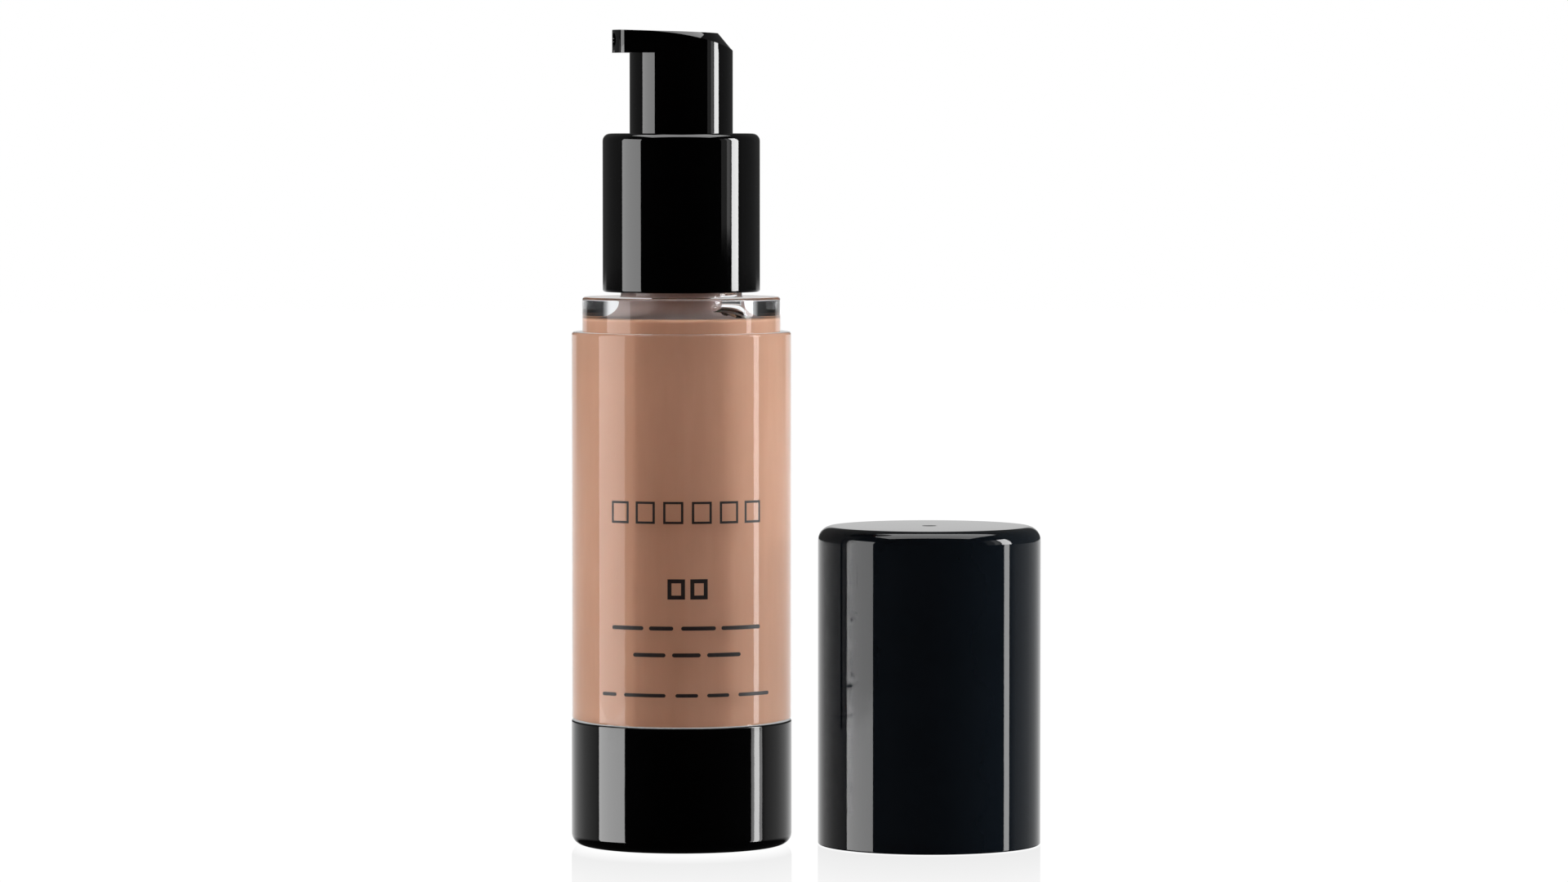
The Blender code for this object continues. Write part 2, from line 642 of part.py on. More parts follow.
def collar_sleeve(coat):
    guide = HEAD_RADIUS + SEAT
    ledge = CLOSURE_TOP + SEAT
    corners = [
        (COLLAR_BORE, COLLAR_FOOT),
        (COLLAR_RADIUS, COLLAR_FOOT),
        (COLLAR_RADIUS, COLLAR_CREST, COLLAR_ROUND),
        (guide, COLLAR_CREST),
        (guide, COLLAR_CREST - GUIDE_LENGTH),
        (guide + GUIDE_WALL, COLLAR_CREST - GUIDE_LENGTH),
        (guide + GUIDE_WALL, COLLAR_CREST - COLLAR_TOP),
        (COLLAR_BORE, COLLAR_CREST - COLLAR_TOP),
        (COLLAR_BORE, ledge + LEDGE_THICKNESS),
        (COLLAR_BORE - LEDGE_WIDTH, ledge + LEDGE_THICKNESS),
        (COLLAR_BORE - LEDGE_WIDTH, ledge),
        (COLLAR_BORE, ledge),
    ]
    turned("collar_sleeve", corners, coat)


def direction(angle):
    return Vector((math.cos(angle), math.sin(angle)))


def head_plan():
    """The head's outline with its spout along +X, each point paired with one on the plain cylinder's circle.

    The nose is an arc about the head's axis with a round at each end, and a straight side runs from each
    round to touch the circle.
    """
    nose = math.radians(NOSE_SPREAD)
    touch = nose + math.acos((HEAD_RADIUS - NOSE_ROUND) / (SPOUT_REACH - NOSE_ROUND))
    spout = [direction(0) * SPOUT_REACH]
    round_steps = 4
    for step in range(round_steps + 1):
        angle = nose + (touch - nose) * step / round_steps
        spout.append(direction(nose) * (SPOUT_REACH - NOSE_ROUND) + direction(angle) * NOSE_ROUND)
    half = []
    for number, point in enumerate(spout):
        half.append((direction(touch * number / len(spout)) * HEAD_RADIUS, point))
    side = spout[-1]
    for share in (0.5, 1.0):
        edge = side.lerp(direction(touch) * HEAD_RADIUS, share)
        half.append((direction(touch * (len(spout) - 1 + share) / len(spout)) * HEAD_RADIUS, edge))
    back_steps = 14
    for step in range(1, back_steps + 1):
        point = direction(touch + (math.pi - touch) * step / back_steps) * HEAD_RADIUS
        half.append((point, point))
    mirror = Matrix.Diagonal((1, -1))
    return half + [(mirror @ circle, mirror @ point) for circle, point in reversed(half[1:-1])]


def deck_height(x):
    return HEAD_TOP - (SPOUT_REACH - x) * math.tan(math.radians(TOP_SLOPE))


def head_rings():
    """The head's outside as rings of matching points, from its foot up to the rim of its deck."""
    foot, underside, ledge, wall, rim = [], [], [], [], []
    for circle, point in head_plan():
        depth = BEVEL_DEPTH * (max(0, BEVEL_REACH - point.x) / (BEVEL_REACH + HEAD_RADIUS)) ** 2
        inner = point - circle.normalized() * (depth / math.tan(math.radians(BEVEL_ANGLE)))
        foot.append((*circle, HEAD_FOOT))
        underside.append((*circle, SPOUT_FLOOR))
        ledge.append((*point, SPOUT_FLOOR))
        wall.append((*point, deck_height(inner.x) - depth))
        rim.append((*inner, deck_height(inner.x)))
    return foot, underside, ledge, wall, rim


def head_block(name, coat):
    """The head before it is hollowed."""
    bm = bmesh.new()
    loops = [[bm.verts.new(place) for place in ring] for ring in head_rings()]
    for first, second in zip(loops, loops[1:]):
        for index in range(len(first)):
            bm.faces.new((first[index - 1], first[index], second[index], second[index - 1]))
    bm.faces.new(loops[0])
    bm.faces.new(loops[-1])
    bmesh.ops.remove_doubles(bm, verts=bm.verts, dist=WELD)
    return add_object(name, bm, coat)


def head_core():
    """What is hollow in the head: the skirt's inside, the stem's socket and the riser to the nozzle."""
    socket = STEM_RADIUS + SLIP
    corners = [
        (0, HEAD_FOOT - MARGIN),
        (HEAD_RADIUS - HEAD_WALL, HEAD_FOOT - MARGIN),
        (HEAD_RADIUS - HEAD_WALL, HEAD_CEILING),
        (socket + SOCKET_WALL, HEAD_CEILING),
        (socket + SOCKET_WALL, SOCKET_FOOT),
        (socket, SOCKET_FOOT),
        (socket, STEM_TOP + SEAT),
        (RISER_RADIUS, STEM_TOP + SEAT),
        (RISER_RADIUS, NOZZLE_Z),
        (0, NOZZLE_Z),
    ]
    return turned("head_core", corners, segments=SMALL_SEGMENTS)


def actuator_head(coat):
    """Built with the spout along +X, then turned to where it points at rest."""
    made = head_block("actuator_head", coat)
    nozzle_end = (SPOUT_REACH + MARGIN, 0, NOZZLE_Z)
    helpers = [head_core(), rod("nozzle", NOZZLE_RADIUS, (0, 0, NOZZLE_Z), nozzle_end, 16)]
    for helper in helpers:
        combine(made, helper, "DIFFERENCE")
    for item in [made, *helpers]:
        item.rotation_euler.z = math.radians(180 + HEAD_TURN)


def overcap_shell(coat):
    """The cap stands on its rim, with a gate dimple in the middle of its top."""
    corners = [
        (0, CAP_CEILING),
        (CAP_BORE, CAP_CEILING, CAP_ROUND - CAP_WALL),
        (CAP_BORE, 0),
        (CAP_RADIUS, 0),
        (CAP_RADIUS, CAP_HEIGHT, CAP_ROUND),
        (DIMPLE_RADIUS, CAP_HEIGHT),
        (DIMPLE_RADIUS, CAP_HEIGHT - DIMPLE_DEPTH),
        (0, CAP_HEIGHT - DIMPLE_DEPTH),
    ]
    turned("overcap_shell", corners, coat).location.x = CAP_X


def overcap_liner(coat):
    """A thin inner cup with a bead near its mouth that grips the bottle's ring."""
    outer_round = CAP_ROUND - CAP_WALL
    bead = LINER_BORE - BEAD_DEPTH
    corners = [
        (0, LINER_CEILING),
        (LINER_BORE, LINER_CEILING, outer_round - LINER_WALL),
        (LINER_BORE, BEAD_HEIGHT + BEAD_WIDTH),
        (bead, BEAD_HEIGHT + BEAD_WIDTH * 2 / 3),
        (bead, BEAD_HEIGHT + BEAD_WIDTH / 3),
        (LINER_BORE, BEAD_HEIGHT),
        (LINER_BORE, LINER_SETBACK),
        (LINER_RADIUS, LINER_SETBACK),
        (LINER_RADIUS, LINER_CEILING + LINER_WALL, outer_round),
        (0, LINER_CEILING + LINER_WALL),
    ]
    turned("overcap_liner", corners, coat).location.x = CAP_X


def clear_scene():
    for item in list(bpy.data.objects):
        bpy.data.objects.remove(item)


def main():
    clear_scene()
    black = material("black_gloss", (0.006, 0.006, 0.007), 0.08)
    clear = material("clear_plastic", (0.93, 0.92, 0.9), 0.04, alpha=0.35)
    cream = material("foundation", (0.5, 0.27, 0.17), 0.45)
    natural = material("natural_polypropylene", (0.78, 0.78, 0.75), 0.4)
    white = material("white_polyethylene", (0.82, 0.82, 0.8), 0.5)
    foam = material("gasket_foam", (0.7, 0.7, 0.68), 0.9)
    steel = material("spring_steel", (0.6, 0.6, 0.62), 0.25, metallic=1.0)

    bottle_body(clear)
    base_cup(black)
    follower_piston(white)
    foundation_column(cream)
    foundation_neck(cream)
    neck_gasket(foam)
    pump_housing(natural)
    pump_retainer(natural)
    pump_stem(natural)
    stem_foot(natural)
    stem_piston(white)
    return_spring(steel)
    inlet_ball(steel)
    closure_ring(natural)
    collar_sleeve(black)
    actuator_head(black)
    overcap_shell(black)
    overcap_liner(natural)


main()
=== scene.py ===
"""The looks of a foundation pump bottle and its overcap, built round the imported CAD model. Metres, +Z up.

The clear bottle, the foundation, the black mouldings, the spring and the liner are turned or built here with
finer curves than the CAD has, at the CAD's own sizes. Pieces hidden in the pump stay CAD nodes.
"""

import math

import bmesh
import bpy
from mathutils import Matrix, Vector, noise


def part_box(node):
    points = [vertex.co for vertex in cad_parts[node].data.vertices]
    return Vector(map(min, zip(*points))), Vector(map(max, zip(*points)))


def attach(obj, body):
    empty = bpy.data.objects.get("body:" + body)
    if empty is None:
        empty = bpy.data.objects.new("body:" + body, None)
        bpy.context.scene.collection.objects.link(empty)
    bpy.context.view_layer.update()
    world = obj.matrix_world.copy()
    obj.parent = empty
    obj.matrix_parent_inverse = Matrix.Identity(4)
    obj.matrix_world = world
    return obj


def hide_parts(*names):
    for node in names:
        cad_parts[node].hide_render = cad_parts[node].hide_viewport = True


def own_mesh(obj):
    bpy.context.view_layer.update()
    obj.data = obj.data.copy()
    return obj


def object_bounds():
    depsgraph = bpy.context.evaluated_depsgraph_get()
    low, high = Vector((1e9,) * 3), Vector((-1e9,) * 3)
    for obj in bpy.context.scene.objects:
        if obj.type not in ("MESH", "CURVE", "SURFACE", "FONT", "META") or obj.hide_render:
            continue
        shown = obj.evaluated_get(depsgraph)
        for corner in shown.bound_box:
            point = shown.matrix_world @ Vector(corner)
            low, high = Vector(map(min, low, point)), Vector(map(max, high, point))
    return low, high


MM = 0.001
ROUND_STEP = math.radians(12)
SEGMENTS = 160

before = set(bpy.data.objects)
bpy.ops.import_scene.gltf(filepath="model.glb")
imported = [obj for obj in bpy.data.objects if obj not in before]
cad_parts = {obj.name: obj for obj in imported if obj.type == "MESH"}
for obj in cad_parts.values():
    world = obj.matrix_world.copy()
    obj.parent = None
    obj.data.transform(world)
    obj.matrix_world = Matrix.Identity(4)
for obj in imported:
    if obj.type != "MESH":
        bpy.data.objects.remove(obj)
cad_low, cad_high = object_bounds()


# ---------------------------------------------------------------- mesh helpers


def rounded(corners):
    """The outline through these (radius, height) corners, where one with a third number is rounded to it."""
    outline = []
    for index, corner in enumerate(corners):
        here = Vector(corner[:2])
        if len(corner) == 2:
            outline.append(here)
            continue
        before = (Vector(corners[index - 1][:2]) - here).normalized()
        after = (Vector(corners[(index + 1) % len(corners)][:2]) - here).normalized()
        radius = corner[2]
        half_angle = before.angle(after) / 2
        centre = here + (before + after).normalized() * (radius / math.sin(half_angle))
        start = here + before * (radius / math.tan(half_angle)) - centre
        turn = math.pi - 2 * half_angle
        if start.x * before.y - start.y * before.x > 0:
            turn = -turn
        steps = max(2, round(abs(turn) / ROUND_STEP))
        for step in range(steps + 1):
            outline.append(centre + Matrix.Rotation(turn * step / steps, 2) @ start)
    return outline


def finish_mesh(name, bm, coat, sharp=35):
    """An object from a bmesh, smooth but for its real edges, with flat faces kept flat by weighted normals."""
    bmesh.ops.recalc_face_normals(bm, faces=bm.faces)
    mesh = bpy.data.meshes.new(name)
    bm.to_mesh(mesh)
    bm.free()
    made = bpy.data.objects.new(name, mesh)
    bpy.context.scene.collection.objects.link(made)
    mesh.materials.append(coat)
    mesh.shade_smooth()
    mesh.set_sharp_from_angle(angle=math.radians(sharp))
    weighted = made.modifiers.new("flat_faces", "WEIGHTED_NORMAL")
    weighted.keep_sharp = True
    return made


def turned_mesh(corners, segments=SEGMENTS, centre=(0, 0, 0)):
    """The outline turned about Z. It is a closed loop, or both its ends are on the axis."""
    bm = bmesh.new()
    points = rounded(corners)
    verts = [bm.verts.new((point.x, 0, point.y)) for point in points]
    following = verts[1:] + verts[:1] if corners[0][0] > 0 else verts[1:]
    edges = [bm.edges.new(pair) for pair in zip(verts, following)]
    bmesh.ops.spin(
        bm, geom=verts + edges, cent=(0, 0, 0), axis=(0, 0, 1), angle=math.tau, steps=segments, use_merge=True
    )
    bmesh.ops.remove_doubles(bm, verts=bm.verts, dist=0.0005 * MM)
    bmesh.ops.translate(bm, vec=centre, verts=bm.verts)
    return bm


def turned(name, corners, coat, segments=SEGMENTS, centre=(0, 0, 0)):
    return finish_mesh(name, turned_mesh(corners, segments, centre), coat)


def baked(made, helpers, coat, sharp=35):
    """The object with its modifiers applied, and its helpers removed."""
    bpy.context.view_layer.update()
    evaluated = made.evaluated_get(bpy.context.evaluated_depsgraph_get())
    bm = bmesh.new()
    bm.from_mesh(evaluated.to_mesh())
    bmesh.ops.transform(bm, matrix=made.matrix_world, verts=bm.verts)
    evaluated.to_mesh_clear()
    bmesh.ops.remove_doubles(bm, verts=bm.verts, dist=0.001 * MM)
    bmesh.ops.dissolve_degenerate(bm, edges=bm.edges, dist=0.001 * MM)
    name = made.name
    for item in [made, *helpers]:
        bpy.data.objects.remove(item)
    return finish_mesh(name, bm, coat, sharp)


# ---------------------------------------------------------------- materials


class Nodes:
    """A short way to add and link a material's nodes."""

    def __init__(self, name):
        self.material = bpy.data.materials.new(name)
        self.material.use_nodes = True
        self.tree = self.material.node_tree
        self.shader = self.tree.nodes["Principled BSDF"]
        self.output = self.tree.nodes["Material Output"]

    def add(self, kind, **settings):
        node = self.tree.nodes.new(kind)
        for key, value in settings.items():
            if key in node.inputs:
                node.inputs[key].default_value = value
            else:
                setattr(node, key, value)
        return node

    def link(self, source, target):
        self.tree.links.new(source, target)

    def position(self, scale=(1, 1, 1)):
        """Object coordinates in metres, stretched by scale."""
        mapping = self.add("ShaderNodeMapping")
        mapping.inputs["Scale"].default_value = scale
        self.link(self.add("ShaderNodeTexCoord").outputs["Object"], mapping.inputs["Vector"])
        return mapping.outputs["Vector"]

    def noise(self, scale, detail=4.0, roughness=0.5, stretch=(1, 1, 1)):
        node = self.add("ShaderNodeTexNoise")
        node.inputs["Scale"].default_value = scale
        node.inputs["Detail"].default_value = detail
        node.inputs["Roughness"].default_value = roughness
        self.link(self.position(stretch), node.inputs["Vector"])
        return node.outputs["Fac"]

    def ramp(self, source, low, high, from_low=0.3, from_high=0.7):
        node = self.add("ShaderNodeMapRange")
        node.inputs["From Min"].default_value = from_low
        node.inputs["From Max"].default_value = from_high
        node.inputs["To Min"].default_value = low
        node.inputs["To Max"].default_value = high
        self.link(source, node.inputs["Value"])
        return node.outputs["Result"]

    def tint(self, source, first, second, from_low=0.3, from_high=0.7):
        node = self.add("ShaderNodeMix", data_type="RGBA")
        node.inputs["A"].default_value = (*first, 1)
        node.inputs["B"].default_value = (*second, 1)
        self.link(self.ramp(source, 0, 1, from_low, from_high), node.inputs["Factor"])
        return node.outputs["Result"]

    def bump(self, source, distance, strength=1.0, chained=None):
        node = self.add("ShaderNodeBump")
        node.inputs["Strength"].default_value = strength
        node.inputs["Distance"].default_value = distance
        self.link(source, node.inputs["Height"])
        if chained is not None:
            self.link(chained, node.inputs["Normal"])
        return node.outputs["Normal"]

    def set(self, **values):
        for key, value in values.items():
            self.shader.inputs[key.replace("_", " ")].default_value = value

    def unseen_by_neighbours(self):
        """Lets the first reflection of another piece pass through this one."""
        path = self.add("ShaderNodeLightPath")
        first = self.add("ShaderNodeMath", operation="LESS_THAN")
        first.inputs[1].default_value = 1.5
        self.link(path.outputs["Ray Depth"], first.inputs[0])
        reflected = self.add("ShaderNodeMath", operation="SUBTRACT")
        self.link(path.outputs["Is Glossy Ray"], reflected.inputs[0])
        self.link(path.outputs["Is Transmission Ray"], reflected.inputs[1])
        mask = self.add("ShaderNodeMath", operation="MULTIPLY", use_clamp=True)
        self.link(first.outputs[0], mask.inputs[0])
        self.link(reflected.outputs[0], mask.inputs[1])
        mix = self.add("ShaderNodeMixShader")
        self.link(mask.outputs[0], mix.inputs["Fac"])
        self.link(self.output.inputs["Surface"].links[0].from_socket, mix.inputs[1])
        self.link(self.add("ShaderNodeBsdfTransparent").outputs["BSDF"], mix.inputs[2])
        self.link(mix.outputs["Shader"], self.output.inputs["Surface"])


def black_gloss(name, colour, lighter, wave, roughness=0.035, ior=1.5):
    """Polished black moulding: a faint mould waviness, hairline polish marks and specks of dust."""
    made = Nodes(name)
    made.set(IOR=ior)
    made.link(made.tint(made.noise(90, 3), colour, lighter), made.shader.inputs["Base Color"])
    hairlines = made.noise(2600, 5, 0.65, (1, 1, 0.06))
    smears = made.noise(70, 4, 0.6)
    rough = made.add("ShaderNodeMath", operation="ADD")
    made.link(made.ramp(hairlines, roughness * 0.6, roughness * 1.2), rough.inputs[0])
    made.link(made.ramp(smears, 0, roughness * 0.8, 0.45, 0.75), rough.inputs[1])
    made.link(rough.outputs[0], made.shader.inputs["Roughness"])
    waves = made.bump(made.noise(120, 2), wave)
    made.link(made.bump(made.noise(9000, 2), 0.0000004, chained=waves), made.shader.inputs["Normal"])
    return made.material


def clear_plastic():
    """Clear thick-walled plastic. Lamps reach what is behind it as through thin glass."""
    made = Nodes("clear_plastic_polished")
    made.set(IOR=1.5, Transmission_Weight=1.0)
    made.shader.inputs["Specular Tint"].default_value = (0.45, 0.45, 0.45, 1)
    made.shader.inputs["Base Color"].default_value = (0.955, 0.97, 0.99, 1)
    made.link(made.ramp(made.noise(900, 4, 0.6, (1, 1, 0.2)), 0.0, 0.02, 0.5, 0.8), made.shader.inputs["Roughness"])
    made.link(made.bump(made.noise(60, 2), 0.00001), made.shader.inputs["Normal"])
    through = made.add("ShaderNodeBsdfTransparent")
    through.inputs["Color"].default_value = (0.95, 0.945, 0.94, 1)
    mix = made.add("ShaderNodeMixShader")
    made.link(made.add("ShaderNodeLightPath").outputs["Is Shadow Ray"], mix.inputs["Fac"])
    made.link(made.shader.outputs["BSDF"], mix.inputs[1])
    made.link(through.outputs["BSDF"], mix.inputs[2])
    made.link(mix.outputs["Shader"], made.output.inputs["Surface"])
    made.unseen_by_neighbours()
    return made.material


def foundation_cream(name, darker, lighter):
    """Opaque beige cream pressed against the wall: faint vertical drag marks and soft pigment mottling."""
    made = Nodes(name)
    made.set(Roughness=0.5, IOR=1.4, Specular_IOR_Level=0.0, Subsurface_Weight=0.15, Subsurface_Scale=0.002)
    made.shader.inputs["Subsurface Radius"].default_value = (1.0, 0.5, 0.3)
    drag = made.noise(420, 5, 0.6, (1, 1, 0.12))
    colour = made.tint(drag, darker, lighter)
    cloud = made.add("ShaderNodeMix", data_type="RGBA", blend_type="MULTIPLY")
    made.link(made.ramp(made.noise(110, 3), 0.0, 0.5), cloud.inputs["Factor"])
    made.link(colour, cloud.inputs["A"])
    cloud.inputs["B"].default_value = (0.95, 0.925, 0.91, 1)
    made.link(cloud.outputs["Result"], made.shader.inputs["Base Color"])
    made.link(made.bump(made.noise(700, 3), 0.00001), made.shader.inputs["Normal"])
    made.unseen_by_neighbours()
    return made.material


def milky_plastic(name, colour, darker, roughness):
    """Uncoloured or white moulding with a fine spark-eroded grain."""
    made = Nodes(name)
    made.set(IOR=1.49, Subsurface_Weight=0.2, Subsurface_Scale=0.001)
    made.link(made.tint(made.noise(160, 3), colour, darker), made.shader.inputs["Base Color"])
    made.link(made.ramp(made.noise(3000, 4), roughness * 0.85, roughness * 1.2), made.shader.inputs["Roughness"])
    made.link(made.bump(made.noise(7000, 3), 0.000004), made.shader.inputs["Normal"])
    return made.material


def drawn_steel():
    made = Nodes("drawn_steel")
    made.set(Metallic=1.0)
    made.link(made.tint(made.noise(600, 4), (0.52, 0.52, 0.54), (0.66, 0.66, 0.67)), made.shader.inputs["Base Color"])
    made.link(made.ramp(made.noise(4000, 5, 0.7), 0.18, 0.34), made.shader.inputs["Roughness"])
    made.link(made.bump(made.noise(9000, 4, 0.6, (1, 1, 0.1)), 0.000003), made.shader.inputs["Normal"])
    return made.material


def gasket_foam():
    made = Nodes("gasket_foam_cells")
    made.set(Roughness=0.9)
    cells = made.add("ShaderNodeTexVoronoi")
    cells.inputs["Scale"].default_value = 6000
    made.link(made.position(), cells.inputs["Vector"])
    distance = cells.outputs["Distance"]
    made.link(made.tint(distance, (0.62, 0.62, 0.6), (0.74, 0.74, 0.72), 0.1, 0.6), made.shader.inputs["Base Color"])
    made.link(made.bump(distance, 0.00004), made.shader.inputs["Normal"])
    return made.material


def print_ink():
    """Matte black screen print, a little uneven."""
    made = Nodes("screen_print_ink")
    made.link(made.tint(made.noise(2500, 3), (0.012, 0.009, 0.009), (0.022, 0.017, 0.016)), made.shader.inputs["Base Color"])
    made.link(made.ramp(made.noise(5000, 3), 0.35, 0.55), made.shader.inputs["Roughness"])
    made.link(made.bump(made.noise(8000, 2), 0.000002), made.shader.inputs["Normal"])
    made.unseen_by_neighbours()
    return made.material


CLEAR = clear_plastic()
CREAM = foundation_cream("foundation_cream", (0.565, 0.325, 0.215), (0.60, 0.35, 0.235))
# The cream in the neck is the same foundation, given a darker, greyer colour: painted shade for the cream seen in the
# neck.
SHADED_NECK_CREAM = foundation_cream("foundation_cream_painted_shade_in_neck", (0.34, 0.265, 0.24), (0.38, 0.3, 0.27))
BASE_BLACK = black_gloss("base_black_gloss", (0.0005, 0.0005, 0.0006), (0.0009, 0.0009, 0.001), 0.00002)
PUMP_BLACK = black_gloss("pump_black_gloss", (0.0005, 0.0005, 0.0006), (0.0009, 0.0009, 0.001), 0.000008)
CAP_BLACK = black_gloss("cap_black_gloss", (0.0055, 0.0084, 0.0115), (0.0066, 0.0098, 0.0134), 0.000008, ior=1.38)
NATURAL = milky_plastic("natural_plastic_grain", (0.76, 0.76, 0.72), (0.69, 0.69, 0.65), 0.4)
WHITE = milky_plastic("white_plastic_grain", (0.82, 0.82, 0.8), (0.77, 0.77, 0.75), 0.5)
STEEL = drawn_steel()
FOAM = gasket_foam()
INK = print_ink()


# ---------------------------------------------------------------- sizes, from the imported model

body_low, body_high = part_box("bottle_body")
cup_low, cup_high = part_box("base_cup")
collar_low, collar_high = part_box("collar_sleeve")
head_low, head_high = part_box("actuator_head")
cap_low, cap_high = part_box("overcap_shell")
liner_low, liner_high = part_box("overcap_liner")
column_low, column_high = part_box("foundation_column")
neck_fill_low, neck_fill_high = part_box("foundation_neck")
follower_low, follower_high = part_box("follower_piston")
spring_low, spring_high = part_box("return_spring")

SEAT = 0.3 * MM
WETTED = 0.06 * MM
PUMP_ROOM = 4.9 * MM
BUBBLE_TURN, BUBBLE_HALF_TURN = math.radians(66), math.radians(27)
BUBBLE_CENTRE, BUBBLE_HALF_HEIGHT = 83.7 * MM, 2.1 * MM
BUBBLE_DEPTH = 0.5 * MM
IMAGE_DEPTH = 12 * MM
BODY_RADIUS = body_high.x
BASE_TOP = cup_high.z
NECK_TOP = body_high.z
SHOULDER = column_high.z + SEAT
BORE_RADIUS = column_high.x + SEAT
NECK_BORE = 6.4 * MM
NECK_RADIUS = 8.85 * MM
NECK_ROOT = 9.4 * MM
RING_RADIUS = 15.35 * MM
RING_TOP = NECK_TOP - 10 * MM
STEP_TOP = RING_TOP - 5.4 * MM
SPIGOT_RADIUS = 15.4 * MM
CAP_CENTRE = Vector(((cap_low.x + cap_high.x) / 2, 0, 0))


def placed(made, body, slot, *nodes):
    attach(made, body)
    if nodes:
        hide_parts(*nodes)
    return made


# ---------------------------------------------------------------- bottle


def clear_bottle():
    snap = SPIGOT_RADIUS + 0.35 * MM
    corners = [
        (BORE_RADIUS, body_low.z),
        (SPIGOT_RADIUS, body_low.z, 0.2 * MM),
        (SPIGOT_RADIUS, 11.65 * MM),
        (snap, 12.0 * MM, 0.15 * MM),
        (snap, 12.7 * MM, 0.15 * MM),
        (SPIGOT_RADIUS, 13.05 * MM),
        (SPIGOT_RADIUS, BASE_TOP + SEAT),
        (BODY_RADIUS, BASE_TOP + SEAT, 0.12 * MM),
        (BODY_RADIUS, STEP_TOP, 0.4 * MM),
        (RING_RADIUS, STEP_TOP, 0.12 * MM),
        (RING_RADIUS, RING_TOP, 0.45 * MM),
        (NECK_ROOT, RING_TOP, 0.3 * MM),
        (NECK_ROOT, RING_TOP + 1.0 * MM, 0.2 * MM),
        (NECK_RADIUS, RING_TOP + 1.6 * MM),
        (NECK_RADIUS, NECK_TOP, 0.3 * MM),
        (NECK_BORE, NECK_TOP, 0.3 * MM),
        (NECK_BORE, SHOULDER, 2.5 * MM),
        (BORE_RADIUS, SHOULDER, 0.5 * MM),
    ]
    return placed(turned("bottle_clear_shell", corners, CLEAR), "bottle", "clear_plastic", "bottle_body")


def neck_thread():
    """The neck's screw thread: one ridge, running out to the wall at both ends."""
    pitch, turns, steps = 3.175 * MM, 1.1, 110
    root, crest = NECK_RADIUS - 0.1 * MM, NECK_RADIUS + 0.95 * MM
    bm = bmesh.new()
    sections = []
    for step in range(steps + 1):
        share = min(1.0, (step + 0.5) / 14, (steps - step + 0.5) / 14)
        angle = math.tau * turns * step / steps
        height = RING_TOP + 4.6 * MM + pitch * turns * step / steps
        tip = NECK_RADIUS + (crest - NECK_RADIUS) * share
        profile = ((root, -0.82), (tip - 0.12 * MM, -0.55), (tip, -0.42), (tip, 0.42), (tip - 0.12 * MM, 0.55), (root, 0.82))
        ring = [
            bm.verts.new((radius * math.cos(angle), radius * math.sin(angle), height + side * MM))
            for radius, side in profile
        ]
        sections.append(ring)
    for first, second in zip(sections, sections[1:]):
        for corner in range(len(first)):
            following = (corner + 1) % len(first)
            bm.faces.new((first[corner], first[following], second[following], second[corner]))
    bm.faces.new(sections[0])
    bm.faces.new(sections[-1])
    return placed(finish_mesh("neck_screw_thread", bm, CLEAR), "bottle", "clear_plastic")


def foundation():
    """The cream wets the wall, so it reaches just into it. The column shortens with the follower.

    It leaves room for the pump's housing all the way down, because the housing doesn't shorten with it.
    """
    wall = BORE_RADIUS + WETTED
    foot = follower_high.z
    top = SHOULDER + WETTED
    column = turned("cream_column", [(PUMP_ROOM, foot), (wall, foot), (wall, top, 0.5 * MM), (PUMP_ROOM, top)], CREAM)
    placed(column, "bottle", "foundation", "foundation_column")
    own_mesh(column)
    neck = NECK_BORE + WETTED
    round_centre = NECK_BORE + 2.5 * MM
    corners = [(PUMP_ROOM, neck_fill_high.z), (PUMP_ROOM, SHOULDER - 0.2 * MM), (round_centre, SHOULDER - 0.2 * MM)]
    steps = 12
    reach = 2.5 * MM - WETTED
    for step in range(1, steps):
        angle = math.pi / 2 * step / steps
        corners.append((round_centre - reach * math.sin(angle), SHOULDER + 2.5 * MM - reach * math.cos(angle)))
    rings = 24
    first = SHOULDER + 2.5 * MM
    corners += [(neck, first + (RING_TOP - first) * step / rings) for step in range(rings + 1)]
    corners.append((neck, neck_fill_high.z))
    # Its darker, greyer cream colour is painted shade, not a different product.
    fill = turned("cream_in_neck", corners, SHADED_NECK_CREAM, segments=360)
    dent_bubble(fill)
    placed(fill, "bottle", "foundation", "foundation_neck")


def dent_bubble(fill):
    """A crumpled, flattened air bubble between the neck's wall and the cream, on the right of the front."""
    for vertex in fill.data.vertices:
        x, y, z = vertex.co
        if math.hypot(x, y) < 6.0 * MM:
            continue
        across = (math.atan2(x, -y) - BUBBLE_TURN) / BUBBLE_HALF_TURN
        up = (z - BUBBLE_CENTRE) / BUBBLE_HALF_HEIGHT
        ragged = math.hypot(across, up) + 0.35 * noise.noise(vertex.co * 900)
        if ragged < 1:
            creases = 0.3 + 1.4 * abs(noise.noise(vertex.co * 1300 + Vector((3, 0, 0))))
            depth = BUBBLE_DEPTH * min(1, (1 - ragged) * 4) * creases
            vertex.co.x -= depth * math.sin(math.atan2(x, -y))
            vertex.co.y += depth * math.cos(math.atan2(x, -y))


